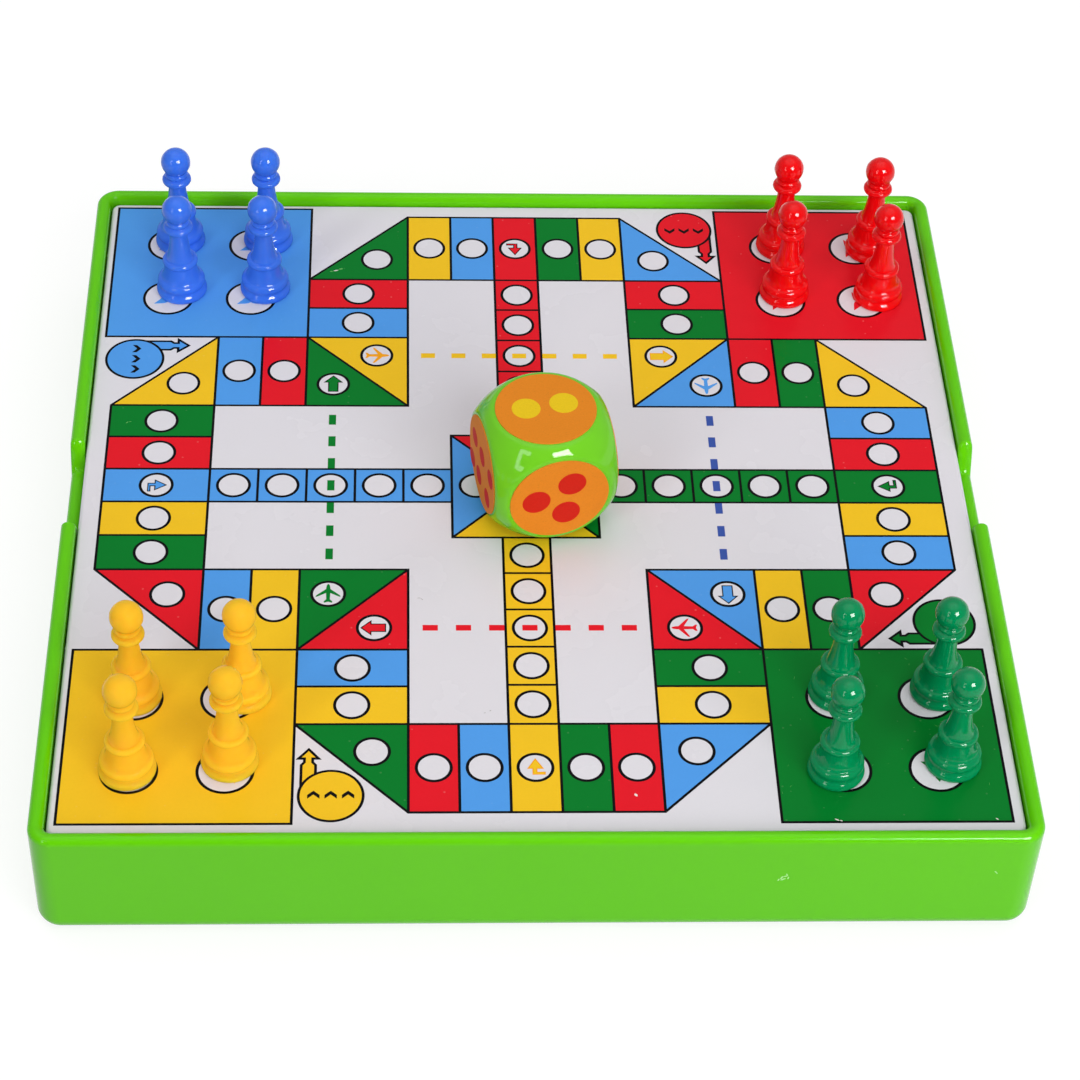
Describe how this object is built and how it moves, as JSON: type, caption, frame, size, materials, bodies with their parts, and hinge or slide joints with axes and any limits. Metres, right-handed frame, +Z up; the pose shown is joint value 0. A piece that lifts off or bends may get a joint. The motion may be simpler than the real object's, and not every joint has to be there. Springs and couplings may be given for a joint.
{
  "type": "ludo board game",
  "caption": "Ludo board game in its own case: open tray with finger notches, lift-out printed board panel, turned pawns in sets by colour and a large rounded die.",
  "frame": {"origin": "middle of the tray's underside, which is the plane it rests on", "axes": "+Z up, +Y towards the back edge of the board, +X to the right as seen from the front"},
  "size_m": [0.245, 0.245, 0.0669],
  "materials": {
    "case_green": "glossy injection moulded plastic",
    "panel_white": "satin white plastic with a printed top",
    "pawn_blue": "glossy moulded plastic",
    "pawn_red": "glossy moulded plastic",
    "pawn_yellow": "glossy moulded plastic",
    "pawn_green": "glossy moulded plastic",
    "die_green": "glossy moulded plastic",
    "disc_orange": "satin printed film"
  },
  "bodies": {
    "tray": {"case": "case_green"},
    "board": {"board_panel": "panel_white"},
    "pawn_blue_1": {"pawn_blue_1": "pawn_blue"},
    "pawn_blue_2": {"pawn_blue_2": "pawn_blue"},
    "pawn_blue_3": {"pawn_blue_3": "pawn_blue"},
    "pawn_blue_4": {"pawn_blue_4": "pawn_blue"},
    "pawn_red_1": {"pawn_red_1": "pawn_red"},
    "pawn_red_2": {"pawn_red_2": "pawn_red"},
    "pawn_red_3": {"pawn_red_3": "pawn_red"},
    "pawn_red_4": {"pawn_red_4": "pawn_red"},
    "pawn_yellow_1": {"pawn_yellow_1": "pawn_yellow"},
    "pawn_yellow_2": {"pawn_yellow_2": "pawn_yellow"},
    "pawn_yellow_3": {"pawn_yellow_3": "pawn_yellow"},
    "pawn_yellow_4": {"pawn_yellow_4": "pawn_yellow"},
    "pawn_green_1": {"pawn_green_1": "pawn_green"},
    "pawn_green_2": {"pawn_green_2": "pawn_green"},
    "pawn_green_3": {"pawn_green_3": "pawn_green"},
    "pawn_green_4": {"pawn_green_4": "pawn_green"},
    "die": {"die_body": "die_green", "die_disc_one": "disc_orange", "die_disc_two": "disc_orange", "die_disc_three": "disc_orange", "die_disc_four": "disc_orange", "die_disc_five": "disc_orange", "die_disc_six": "disc_orange"}
  },
  "joints": [
    {"name": "board_lift", "type": "slide", "parent": "tray", "child": "board", "axis": [0, 0, 1], "range_m": [0, 0.06]},
    {"name": "pawn_blue_1_lift", "type": "slide", "parent": "board", "child": "pawn_blue_1", "axis": [0, 0, 1], "range_m": [0, 0.05]},
    {"name": "pawn_blue_2_lift", "type": "slide", "parent": "board", "child": "pawn_blue_2", "axis": [0, 0, 1], "range_m": [0, 0.05]},
    {"name": "pawn_blue_3_lift", "type": "slide", "parent": "board", "child": "pawn_blue_3", "axis": [0, 0, 1], "range_m": [0, 0.05]},
    {"name": "pawn_blue_4_lift", "type": "slide", "parent": "board", "child": "pawn_blue_4", "axis": [0, 0, 1], "range_m": [0, 0.05]},
    {"name": "pawn_red_1_lift", "type": "slide", "parent": "board", "child": "pawn_red_1", "axis": [0, 0, 1], "range_m": [0, 0.05]},
    {"name": "pawn_red_2_lift", "type": "slide", "parent": "board", "child": "pawn_red_2", "axis": [0, 0, 1], "range_m": [0, 0.05]},
    {"name": "pawn_red_3_lift", "type": "slide", "parent": "board", "child": "pawn_red_3", "axis": [0, 0, 1], "range_m": [0, 0.05]},
    {"name": "pawn_red_4_lift", "type": "slide", "parent": "board", "child": "pawn_red_4", "axis": [0, 0, 1], "range_m": [0, 0.05]},
    {"name": "pawn_yellow_1_lift", "type": "slide", "parent": "board", "child": "pawn_yellow_1", "axis": [0, 0, 1], "range_m": [0, 0.05]},
    {"name": "pawn_yellow_2_lift", "type": "slide", "parent": "board", "child": "pawn_yellow_2", "axis": [0, 0, 1], "range_m": [0, 0.05]},
    {"name": "pawn_yellow_3_lift", "type": "slide", "parent": "board", "child": "pawn_yellow_3", "axis": [0, 0, 1], "range_m": [0, 0.05]},
    {"name": "pawn_yellow_4_lift", "type": "slide", "parent": "board", "child": "pawn_yellow_4", "axis": [0, 0, 1], "range_m": [0, 0.05]},
    {"name": "pawn_green_1_lift", "type": "slide", "parent": "board", "child": "pawn_green_1", "axis": [0, 0, 1], "range_m": [0, 0.05]},
    {"name": "pawn_green_2_lift", "type": "slide", "parent": "board", "child": "pawn_green_2", "axis": [0, 0, 1], "range_m": [0, 0.05]},
    {"name": "pawn_green_3_lift", "type": "slide", "parent": "board", "child": "pawn_green_3", "axis": [0, 0, 1], "range_m": [0, 0.05]},
    {"name": "pawn_green_4_lift", "type": "slide", "parent": "board", "child": "pawn_green_4", "axis": [0, 0, 1], "range_m": [0, 0.05]},
    {"name": "die_lift", "type": "slide", "parent": "board", "child": "die", "axis": [0, 0, 1], "range_m": [0, 0.05]}
  ]
}
